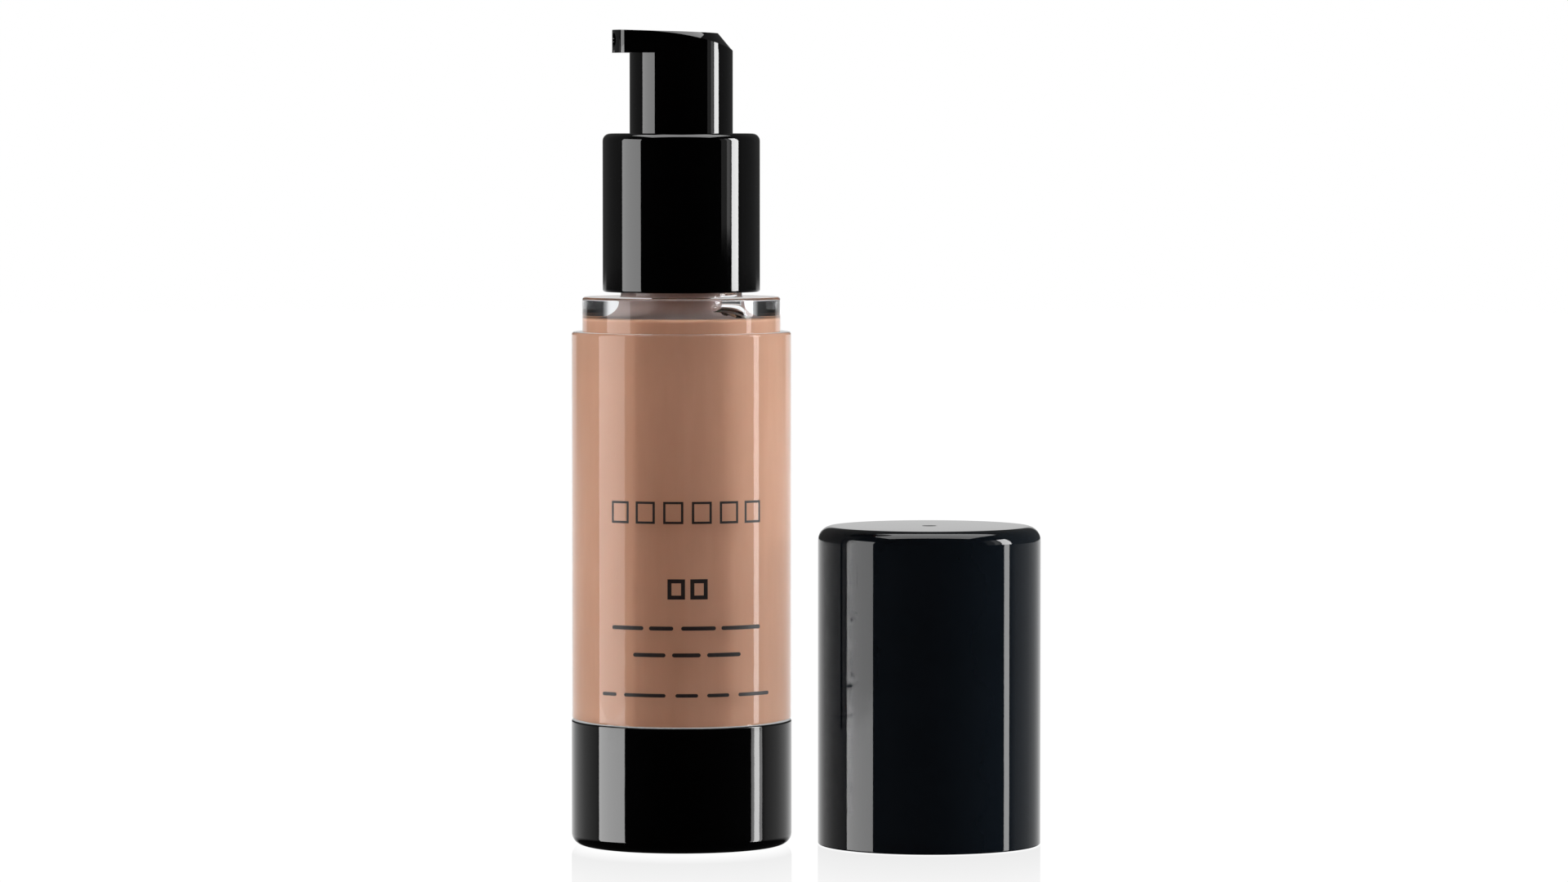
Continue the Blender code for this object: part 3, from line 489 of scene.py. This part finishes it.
def base_cup():
    bore = cup_high.x - 1.4 * MM
    groove = bore + 0.35 * MM
    plug = BORE_RADIUS - SEAT
    plug_inner = plug - 1.5 * MM
    floor = cup_low.z + 2.0 * MM
    corners = [
        (0, cup_low.z),
        (cup_high.x, cup_low.z, 1.8 * MM),
        (cup_high.x, cup_high.z, 0.25 * MM),
        (bore, cup_high.z),
        (bore, 13.05 * MM),
        (groove, 12.7 * MM),
        (groove, 12.0 * MM),
        (bore, 11.65 * MM),
        (bore, floor),
        (plug, floor),
        (plug, floor + 3.7 * MM),
        (plug_inner, floor + 3.7 * MM),
        (plug_inner, floor),
        (0, floor),
    ]
    made = turned("base_cup_moulding", corners, BASE_BLACK)
    vent_helper = turned("vent_helper", [(0, -1 * MM), (0.6 * MM, -1 * MM), (0.6 * MM, 3 * MM), (0, 3 * MM)], BASE_BLACK, 32,
                         (6.0 * MM, 0, 0))
    cut = made.modifiers.new("vent", "BOOLEAN")
    cut.operation = "DIFFERENCE"
    cut.object = vent_helper
    made.modifiers.remove(made.modifiers["flat_faces"])
    made = baked(made, [vent_helper], BASE_BLACK)
    made.visible_glossy = False
    return placed(made, "bottle", "black_gloss", "base_cup")


# ---------------------------------------------------------------- print


def wrapped_strip(bm, radius, turn, centre, low, high, half_width, thickness=0.03 * MM):
    """A thin closed patch on the cylinder, between the heights low(s) and high(s) for s in -half_width..half_width."""
    count = max(6, math.ceil(2 * half_width / (0.22 * MM)))
    rows = []
    for index in range(count + 1):
        s = half_width * math.sin(math.pi * (index / count - 0.5))
        angle = turn + (centre[0] + s) / radius
        row = []
        for level in (radius - thickness / 2, radius + thickness / 2):
            for height in (low(s), high(s)):
                row.append(bm.verts.new((level * math.sin(angle), -level * math.cos(angle), centre[1] + height)))
        inner_low, inner_high, outer_low, outer_high = row
        rows.append((inner_low, outer_low, outer_high, inner_high))
    for first, second in zip(rows, rows[1:]):
        for corner in range(4):
            following = (corner + 1) % 4
            bm.faces.new((first[corner], first[following], second[following], second[corner]))
    bm.faces.new(rows[0])
    bm.faces.new(rows[-1])


def wrapped_bar(bm, radius, turn, centre, width, height):
    """A bar with round ends."""
    half, end = width / 2, height / 2

    def edge(s):
        over = max(0.0, abs(s) - (half - end))
        return math.sqrt(max(end * end - over * over, (0.02 * end) ** 2))

    wrapped_strip(bm, radius, turn, centre, lambda s: -edge(s), edge, half)


def front_print():
    """Generic marks where a label's print would be: rows of empty frames and dashes."""
    turn = math.radians(4.0)
    bm = bmesh.new()

    def bars(height, thickness, pieces):
        for start, end in pieces:
            centre = ((start + end) / 2 * MM, height * MM)
            wrapped_bar(bm, BODY_RADIUS, turn, centre, (end - start) * MM, thickness * MM)

    def frames(height, width, tall, stroke, middles):
        """Upright rectangles drawn in outline."""
        for middle in middles:
            side = (width - stroke) / 2
            for place, half, low, high in (
                (-side, stroke / 2, -tall / 2, tall / 2),
                (side, stroke / 2, -tall / 2, tall / 2),
                (0, side, -tall / 2, stroke - tall / 2),
                (0, side, tall / 2 - stroke, tall / 2),
            ):
                wrapped_strip(
                    bm,
                    BODY_RADIUS,
                    turn,
                    ((middle + place) * MM, height * MM),
                    lambda s: low * MM,
                    lambda s: high * MM,
                    half * MM,
                )

    frames(52.4, 3.1, 3.4, 0.36, (-10.9, -6.6, -2.2, 2.2, 6.6, 10.9))
    frames(40.7, 2.7, 3.1, 0.62, (-1.75, 1.75))
    bars(34.7, 0.62, [(-12.4, -6.9), (-6.0, -2.2), (-1.0, 4.4), (5.3, 12.4)])
    bars(30.6, 0.62, [(-8.6, -3.4), (-2.4, 2.0), (3.0, 8.6)])
    bars(24.4, 0.55, [(-14.4, -11.6), (-10.2, -3.4), (-1.9, 1.6), (3.0, 6.6), (8.2, 14.4)])
    return placed(finish_mesh("front_print_marks", bm, INK), "bottle", "black_gloss")


# ---------------------------------------------------------------- collar and head


def collar():
    radius, low, high = collar_high.x, collar_low.z, collar_high.z
    bore, guide = 11.3 * MM, 8.25 * MM
    ledge = 99.4 * MM
    corners = [
        (bore, low, 0.15 * MM),
        (radius, low, 0.3 * MM),
        (radius, high, 1.2 * MM),
        (guide, high, 0.25 * MM),
        (guide, high - 8.5 * MM),
        (guide + 0.8 * MM, high - 8.5 * MM),
        (guide + 0.8 * MM, high - 1.1 * MM),
        (bore, high - 1.1 * MM),
        (bore, ledge + 1.0 * MM),
        (bore - 1.4 * MM, ledge + 1.0 * MM),
        (bore - 1.4 * MM, ledge),
        (bore, ledge),
    ]
    return placed(turned("collar_moulding", corners, PUMP_BLACK), "collar", "black_gloss", "collar_sleeve")


HEAD_RADIUS = 8.0 * MM
HEAD_TURN = math.radians(180 + 14.5)
SPOUT_REACH = 10.7 * MM
SPOUT_FLOOR = head_high.z - 3.55 * MM
NOSE_SPREAD = math.radians(12.6)
NOSE_ROUND = 2.1 * MM
SIDE_TOUCH = NOSE_SPREAD + math.acos((HEAD_RADIUS - NOSE_ROUND) / (SPOUT_REACH - NOSE_ROUND))
TOP_SLOPE = math.tan(math.radians(1.9))
BEVEL_SLOPE = math.tan(math.radians(49.5))
BEVEL_DEPTH = 2.8 * MM
BEVEL_REACH = HEAD_RADIUS + 0.2 * MM
NOZZLE_Z = head_high.z - 1.6 * MM


def direction(angle):
    return Vector((math.cos(angle), math.sin(angle)))


def head_plan():
    """Points of the head's outline with its spout along +X, each with its partner on the plain cylinder."""
    face_steps, round_steps, side_steps, back_steps = 4, 14, 12, 48
    spout = [direction(NOSE_SPREAD * step / face_steps) * SPOUT_REACH for step in range(face_steps)]
    for step in range(round_steps + 1):
        angle = NOSE_SPREAD + (SIDE_TOUCH - NOSE_SPREAD) * step / round_steps
        spout.append(direction(NOSE_SPREAD) * (SPOUT_REACH - NOSE_ROUND) + direction(angle) * NOSE_ROUND)
    corner = spout[-1]
    for step in range(1, side_steps):
        spout.append(corner.lerp(direction(SIDE_TOUCH) * HEAD_RADIUS, step / side_steps))
    half = []
    for number, point in enumerate(spout):
        half.append((direction(SIDE_TOUCH * number / len(spout)) * HEAD_RADIUS, point))
    for step in range(back_steps + 1):
        point = direction(SIDE_TOUCH + (math.pi - SIDE_TOUCH) * step / back_steps) * HEAD_RADIUS
        half.append((point, point))
    mirror = Matrix.Diagonal((1, -1))
    return half + [(mirror @ circle, mirror @ point) for circle, point in reversed(half[1:-1])]


def deck(x):
    """The height of the head's sloping top at this distance along its spout."""
    return head_high.z - (SPOUT_REACH - x) * TOP_SLOPE


def head_rim(circle, point):
    """Where the wall ends at this point of the outline, and where the deck begins inside its bevel."""
    depth = BEVEL_DEPTH * (max(0, BEVEL_REACH - point.x) / (BEVEL_REACH + HEAD_RADIUS)) ** 2
    inner = point - circle.normalized() * (depth / BEVEL_SLOPE)
    return (point.x, point.y, deck(inner.x) - depth), (inner.x, inner.y, deck(inner.x))


def pump_head():
    bm = bmesh.new()
    rings = [[], [], [], [], []]
    for circle, outline in head_plan():
        rings[0].append((circle.x, circle.y, head_low.z))
        rings[1].append((circle.x, circle.y, SPOUT_FLOOR))
        rings[2].append((outline.x, outline.y, SPOUT_FLOOR))
        wall, rim = head_rim(circle, outline)
        rings[3].append(wall)
        rings[4].append(rim)
    loops = [[bm.verts.new(place) for place in ring] for ring in rings]
    count = len(loops[0])
    for first, second in zip(loops, loops[1:]):
        for index in range(count):
            following = (index + 1) % count
            bm.faces.new((first[index], first[following], second[following], second[index]))
    bm.faces.new(loops[0])
    bm.faces.new(loops[-1])
    bmesh.ops.remove_doubles(bm, verts=bm.verts, dist=0.002 * MM)
    made = finish_mesh("pump_head_moulding", bm, PUMP_BLACK)
    made.modifiers.remove(made.modifiers["flat_faces"])
    soften = made.modifiers.new("edges", "BEVEL")
    soften.width = 0.3 * MM
    soften.segments = 3
    soften.limit_method = "ANGLE"
    soften.angle_limit = math.radians(24)
    ceiling = SPOUT_FLOOR - 1.1 * MM
    stem_top = 117.8 * MM
    core = turned(
        "core_helper",
        [
            (0, head_low.z - 1 * MM),
            (HEAD_RADIUS - 1.1 * MM, head_low.z - 1 * MM),
            (HEAD_RADIUS - 1.1 * MM, ceiling),
            (3.35 * MM, ceiling),
            (3.35 * MM, 107.3 * MM),
            (2.35 * MM, 107.3 * MM),
            (2.35 * MM, stem_top),
            (1.0 * MM, stem_top),
            (1.0 * MM, NOZZLE_Z),
            (0, NOZZLE_Z),
        ],
        PUMP_BLACK,
        64,
    )
    nozzle = turned(
        "nozzle_helper",
        [
            (0, 0.2 * MM),
            (0.95 * MM, 0.2 * MM),
            (0.95 * MM, SPOUT_REACH - 0.25 * MM),
            (1.2 * MM, SPOUT_REACH + 0.02 * MM),
            (1.2 * MM, SPOUT_REACH + 1 * MM),
            (0, SPOUT_REACH + 1 * MM),
        ],
        PUMP_BLACK,
        48,
    )
    nozzle.matrix_world = Matrix.Translation((0, 0, NOZZLE_Z)) @ Matrix.Rotation(math.pi / 2, 4, "Y")
    for helper in (core, nozzle):
        helper.modifiers.remove(helper.modifiers["flat_faces"])
        cut = made.modifiers.new(helper.name, "BOOLEAN")
        cut.operation = "DIFFERENCE"
        cut.object = helper
    made = baked(made, [core, nozzle], PUMP_BLACK)
    made.data.transform(Matrix.Rotation(HEAD_TURN, 4, "Z"))
    return placed(made, "head", "black_gloss", "actuator_head")


# ---------------------------------------------------------------- overcap


def overcap():
    radius, height = cap_high.x - CAP_CENTRE.x, cap_high.z
    bore = radius - 0.9 * MM
    ceiling = height - 1.2 * MM
    shell = [
        (0, ceiling),
        (bore, ceiling, 1.6 * MM),
        (bore, cap_low.z, 0.15 * MM),
        (radius, cap_low.z, 0.25 * MM),
        (radius, height, 2.2 * MM),
        (1.1 * MM, height, 0.12 * MM),
        (1.0 * MM, height - 0.25 * MM, 0.1 * MM),
        (0, height - 0.25 * MM),
    ]
    made = turned("overcap_moulding", shell, CAP_BLACK, centre=CAP_CENTRE)
    made.visible_shadow = False
    made.visible_diffuse = False
    made.visible_glossy = False
    placed(made, "overcap", "black_gloss", "overcap_shell")
    outer = liner_high.x - CAP_CENTRE.x
    inner = outer - 0.6 * MM
    top = liner_high.z - 0.6 * MM
    bead = inner - 0.15 * MM
    lining = [
        (0, top),
        (inner, top, 1.0 * MM),
        (inner, 3.3 * MM),
        (bead, 2.95 * MM, 0.1 * MM),
        (bead, 2.5 * MM, 0.1 * MM),
        (inner, 2.2 * MM),
        (inner, liner_low.z, 0.1 * MM),
        (outer, liner_low.z, 0.1 * MM),
        (outer, liner_high.z, 1.6 * MM),
        (0, liner_high.z),
    ]
    made = turned("overcap_lining", lining, NATURAL, centre=CAP_CENTRE)
    made.visible_shadow = False
    made.visible_diffuse = False
    made.visible_glossy = False
    placed(made, "overcap", "natural_polypropylene", "overcap_liner")


# ---------------------------------------------------------------- pump parts


def return_spring():
    """A round-wire coil with a closed turn at each end, which shortens with the stroke."""
    wire = 0.25 * MM
    radius = spring_high.x - wire
    low, high = spring_low.z + wire, spring_high.z - wire
    turns, per_turn, around = 6.0, 36, 12
    closed = 2.3 * wire
    steps = int(turns * per_turn)
    bm = bmesh.new()
    rings = []
    for step in range(steps + 1):
        turn = step / per_turn
        if turn <= 1:
            height = low + closed * turn
        elif turn >= turns - 1:
            height = high - closed * (turns - turn)
        else:
            height = low + closed + (high - low - 2 * closed) * (turn - 1) / (turns - 2)
        angle = math.tau * turn
        outward = Vector((math.cos(angle), math.sin(angle), 0))
        ring = []
        for side in range(around):
            swing = math.tau * side / around
            place = outward * (radius + wire * math.cos(swing)) + Vector((0, 0, height + wire * math.sin(swing)))
            ring.append(bm.verts.new(place))
        rings.append(ring)
    for first, second in zip(rings, rings[1:]):
        for side in range(around):
            following = (side + 1) % around
            bm.faces.new((first[side], first[following], second[following], second[side]))
    bm.faces.new(rings[0])
    bm.faces.new(rings[-1])
    made = finish_mesh("return_spring_coil", bm, STEEL)
    placed(made, "pump_engine", "spring_steel", "return_spring")
    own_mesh(made)


def dress_cad_nodes():
    """The pieces that stay as the CAD made them get their materials."""
    coats = {
        "follower_piston": WHITE,
        "neck_gasket": FOAM,
        "pump_housing": NATURAL,
        "pump_retainer": NATURAL,
        "pump_stem": NATURAL,
        "stem_foot": NATURAL,
        "stem_piston": WHITE,
        "inlet_ball": STEEL,
        "closure_ring": NATURAL,
    }
    for name, coat in coats.items():
        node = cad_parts[name]
        node.data.materials.clear()
        node.data.materials.append(coat)
    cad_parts["follower_piston"].visible_glossy = False


# ---------------------------------------------------------------- studio


def studio_floor():
    """Glossy white acrylic, whose gloss is painted. The camera sees it as bright as the surround, and faintly the
    painted reflections under it.
    """
    made = Nodes("studio_floor")
    made.set(Roughness=0.6, Specular_IOR_Level=0.0)
    made.link(made.tint(made.noise(6, 2), (0.78, 0.78, 0.78), (0.82, 0.82, 0.82)), made.shader.inputs["Base Color"])
    white = made.add("ShaderNodeEmission", Strength=1.02)
    below = made.add("ShaderNodeBsdfTransparent")
    seen = made.add("ShaderNodeMixShader", Fac=0.2)
    made.link(white.outputs["Emission"], seen.inputs[1])
    made.link(below.outputs["BSDF"], seen.inputs[2])
    mix = made.add("ShaderNodeMixShader")
    made.link(made.add("ShaderNodeLightPath").outputs["Is Camera Ray"], mix.inputs["Fac"])
    made.link(made.shader.outputs["BSDF"], mix.inputs[1])
    made.link(seen.outputs["Shader"], mix.inputs[2])
    made.link(mix.outputs["Shader"], made.output.inputs["Surface"])
    bm = bmesh.new()
    bmesh.ops.create_circle(bm, cap_ends=True, segments=96, radius=3.0)
    mesh = bpy.data.meshes.new("studio_floor")
    bm.to_mesh(mesh)
    bm.free()
    floor = bpy.data.objects.new("studio_floor", mesh)
    mesh.materials.append(made.material)
    bpy.context.scene.collection.objects.link(floor)
    floor.location = (0.016, 0, cad_low.z - 0.02 * MM)
    floor.visible_glossy = False
    floor.visible_transmission = False


def painted_floor_reflection(name, corners, centre=(0, 0, 0)):
    """A painted floor reflection of a round foot: its side turned upside down as a glowing copy under the floor, dim
    at the floor line and fading to white as it gets deeper.
    """
    made = Nodes(name)
    split = made.add("ShaderNodeSeparateXYZ")
    made.link(made.add("ShaderNodeTexCoord").outputs["Object"], split.inputs["Vector"])
    glow = made.add("ShaderNodeEmission")
    # Faint streaks in the painted reflection's glow.
    reflection_streaks = made.tint(made.noise(300, 3, 0.5, (1, 1, 0.05)), (1, 1, 1), (0.96, 0.96, 0.97))
    made.link(reflection_streaks, glow.inputs["Color"])
    facing = made.add("ShaderNodeSeparateXYZ")
    made.link(made.add("ShaderNodeNewGeometry").outputs["Normal"], facing.inputs["Vector"])
    lid = made.add("ShaderNodeMath", operation="ABSOLUTE")
    made.link(facing.outputs["Z"], lid.inputs[0])
    lit = made.add("ShaderNodeMath", operation="MAXIMUM")
    # Painted reflection: the glow is dim at the floor line, where the dark foot is mirrored, and full white from
    # IMAGE_DEPTH down and on the flat ends.
    made.link(made.ramp(split.outputs["Z"], 0.12, 1.0, 0, IMAGE_DEPTH), lit.inputs[0])
    made.link(lid.outputs[0], lit.inputs[1])
    made.link(lit.outputs[0], glow.inputs["Strength"])
    made.link(glow.outputs["Emission"], made.output.inputs["Surface"])
    image = turned(name, corners, made.material, centre=centre)
    image.scale.z = -1
    image.location.z = cad_low.z - 0.04 * MM
    image.visible_glossy = False
    image.visible_diffuse = False
    image.visible_transmission = False
    image.visible_shadow = False


def softbox(name, azimuth, distance, width, low, high, radiance, colour=(1, 1, 1), diffuse=False):
    """An upright area lamp between two heights, either for reflections only or for diffuse light only.

    Azimuth 0 is towards the camera's side, and positive is to the right.
    """
    lamp = bpy.data.lights.new(name, "AREA")
    lamp.shape = "RECTANGLE"
    lamp.size = width
    lamp.size_y = high - low
    lamp.energy = radiance * math.pi * width * (high - low)
    lamp.color = colour
    made = bpy.data.objects.new(name, lamp)
    bpy.context.scene.collection.objects.link(made)
    a = math.radians(azimuth)
    away = Vector((math.sin(a), -math.cos(a), 0))
    made.location = away * distance + Vector((0, 0, (low + high) / 2))
    made.rotation_euler = away.to_track_quat("Z", "Y").to_euler()
    made.visible_camera = False
    made.visible_diffuse = diffuse
    made.visible_glossy = not diffuse
    made.visible_transmission = not diffuse
    return made


def overhead_softbox(width, depth, height, radiance):
    made = softbox("overhead_softbox", 0, 0, width, 0, depth, radiance)
    made.location = (0, 0, height)
    made.rotation_euler = (0, 0, 0)
    return made


def world_levels(tree, source, stops):
    fall = tree.nodes.new("ShaderNodeValToRGB")
    ramp = fall.color_ramp
    while len(ramp.elements) < len(stops):
        ramp.elements.new(0.5)
    for element, (place, level) in zip(ramp.elements, stops):
        element.position = (place + 1) / 2
        element.color = (level, level, level, 1)
    tree.links.new(source, fall.inputs["Fac"])
    return fall.outputs["Color"]


def world_range(tree, source, from_low, from_high):
    node = tree.nodes.new("ShaderNodeMapRange")
    node.inputs["From Min"].default_value = from_low
    node.inputs["From Max"].default_value = from_high
    tree.links.new(source, node.inputs["Value"])
    return node.outputs["Result"]


def world_mix(tree, factor, first, second):
    node = tree.nodes.new("ShaderNodeMix")
    node.data_type = "RGBA"
    tree.links.new(factor, node.inputs["Factor"])
    tree.links.new(first, node.inputs["A"])
    tree.links.new(second, node.inputs["B"])
    return node.outputs["Result"]


def studio_world():
    """A dark room with a small white backdrop and a lit table top behind the object.

    The camera itself sees white all round. The levels run from the camera's side (-1) to the backdrop (1).
    """
    world = bpy.data.worlds.new("studio_world")
    bpy.context.scene.world = world
    world.use_nodes = True
    tree = world.node_tree
    background = tree.nodes["Background"]
    output = tree.nodes["World Output"]
    coordinates = tree.nodes.new("ShaderNodeTexCoord")
    split = tree.nodes.new("ShaderNodeSeparateXYZ")
    tree.links.new(coordinates.outputs["Generated"], split.inputs["Vector"])
    backward = world_range(tree, split.outputs["Y"], -1.0, 1.0)
    room = world_levels(tree, backward, [(-1.0, 0.003), (0.0, 0.01), (0.17, 0.12), (0.8, 0.1), (0.975, 0.07), (0.99, 0.72), (1.0, 0.72)])
    table = world_levels(tree, backward, [(-1.0, 0.003), (0.0, 0.02), (0.17, 0.3), (0.5, 0.42), (0.77, 0.65), (0.9, 0.9), (1.0, 1.0)])
    far = world_levels(tree, backward, [(-1.0, 0.003), (0.17, 0.015), (0.6, 0.02), (0.77, 0.05), (0.84, 0.8), (1.0, 0.85)])
    under = world_levels(tree, backward, [(-1.0, 0.003), (1.0, 0.02)])
    lower = world_mix(tree, world_range(tree, split.outputs["Z"], -0.32, -0.16), under, table)
    middle = world_mix(tree, world_range(tree, split.outputs["Z"], -0.052, -0.036), lower, far)
    tree.links.new(
        world_mix(tree, world_range(tree, split.outputs["Z"], -0.0245, -0.0235), middle, room), background.inputs["Color"]
    )
    white = tree.nodes.new("ShaderNodeBackground")
    white.inputs["Color"].default_value = (1, 1, 1, 1)
    mix = tree.nodes.new("ShaderNodeMixShader")
    path = tree.nodes.new("ShaderNodeLightPath")
    through = tree.nodes.new("ShaderNodeMath")
    through.operation = "MULTIPLY"
    unscattered = tree.nodes.new("ShaderNodeMath")
    unscattered.operation = "SUBTRACT"
    unscattered.use_clamp = True
    tree.links.new(path.outputs["Is Transmission Ray"], unscattered.inputs[0])
    tree.links.new(path.outputs["Diffuse Depth"], unscattered.inputs[1])
    tree.links.new(unscattered.outputs[0], through.inputs[0])
    tree.links.new(world_range(tree, split.outputs["Z"], -0.07, -0.12), through.inputs[1])
    seen = tree.nodes.new("ShaderNodeMath")
    seen.operation = "MAXIMUM"
    tree.links.new(path.outputs["Is Camera Ray"], seen.inputs[0])
    tree.links.new(through.outputs[0], seen.inputs[1])
    tree.links.new(seen.outputs[0], mix.inputs["Fac"])
    tree.links.new(background.outputs["Background"], mix.inputs[1])
    tree.links.new(white.outputs["Background"], mix.inputs[2])
    tree.links.new(mix.outputs["Shader"], output.inputs["Surface"])


def camera():
    data = bpy.data.cameras.new("camera")
    data.lens = 157.85
    data.clip_start = 0.05
    data.clip_end = 20
    made = bpy.data.objects.new("camera", data)
    bpy.context.scene.collection.objects.link(made)
    aim = Vector((15.9 * MM, 0, 62.62 * MM))
    made.location = (aim.x, -1.065, 0.112)
    made.rotation_euler = (made.location - aim).to_track_quat("Z", "Y").to_euler()
    bpy.context.scene.camera = made


clear_bottle()
neck_thread()
foundation()
cup = base_cup()
front_print()
collar()
pump_head()
overcap()
return_spring()
dress_cad_nodes()
studio_floor()
# Painted floor reflections of the base cup and the overcap: glowing upside-down copies under the floor.
image_top = IMAGE_DEPTH + 1 * MM
painted_floor_reflection("painted_floor_reflection_of_base", [(0, 0), (cup_high.x, 0, 1.8 * MM), (cup_high.x, image_top), (0, image_top)])
painted_floor_reflection(
    "painted_floor_reflection_of_cap", [(0, 0), (cap_high.y, 0, 0.3 * MM), (cap_high.y, image_top), (0, image_top)], centre=CAP_CENTRE
)
softbox("left_softbox_low", -78.1, 2.0, 1.25, -0.6, -0.153, 6.6)
softbox("left_softbox", -78.1, 2.0, 1.25, -0.153, 0.9, 4.6)
softbox("right_strip_low", 86.0, 2.0, 0.25, -0.6, 0.03, 8.5)
base_strip = softbox("right_strip_base", 86.1, 2.0, 0.54, -0.6, -0.153, 3.0)
only_base = bpy.data.collections.new("lit_by_base_strip")
only_base.objects.link(cup)
base_strip.light_linking.receiver_collection = only_base
softbox("right_strip_high", 86.2, 2.0, 0.46, 0.03, 1.2, 16)
softbox("right_glow_wide", 68.5, 2.0, 0.5, 0.06, 1.2, 0.35)
softbox("right_glow_near", 74.5, 2.0, 0.24, 0.06, 1.2, 1.1)
overhead_softbox(2.1, 1.4, 1.6, 4.5)
softbox("left_key", -88, 2.0, 1.3, -0.5, 1.1, 6.6, (0.97, 1.0, 1.06), diffuse=True)
softbox("right_key", 88, 2.0, 1.3, -0.5, 1.1, 9.0, (0.92, 1.0, 1.1), diffuse=True)
softbox("warm_front_fill", 0, 2.0, 1.2, -0.3, 0.9, 1.25, (1.0, 0.28, 0.07), diffuse=True)
studio_world()
camera()
bpy.context.scene.view_settings.view_transform = "Standard"
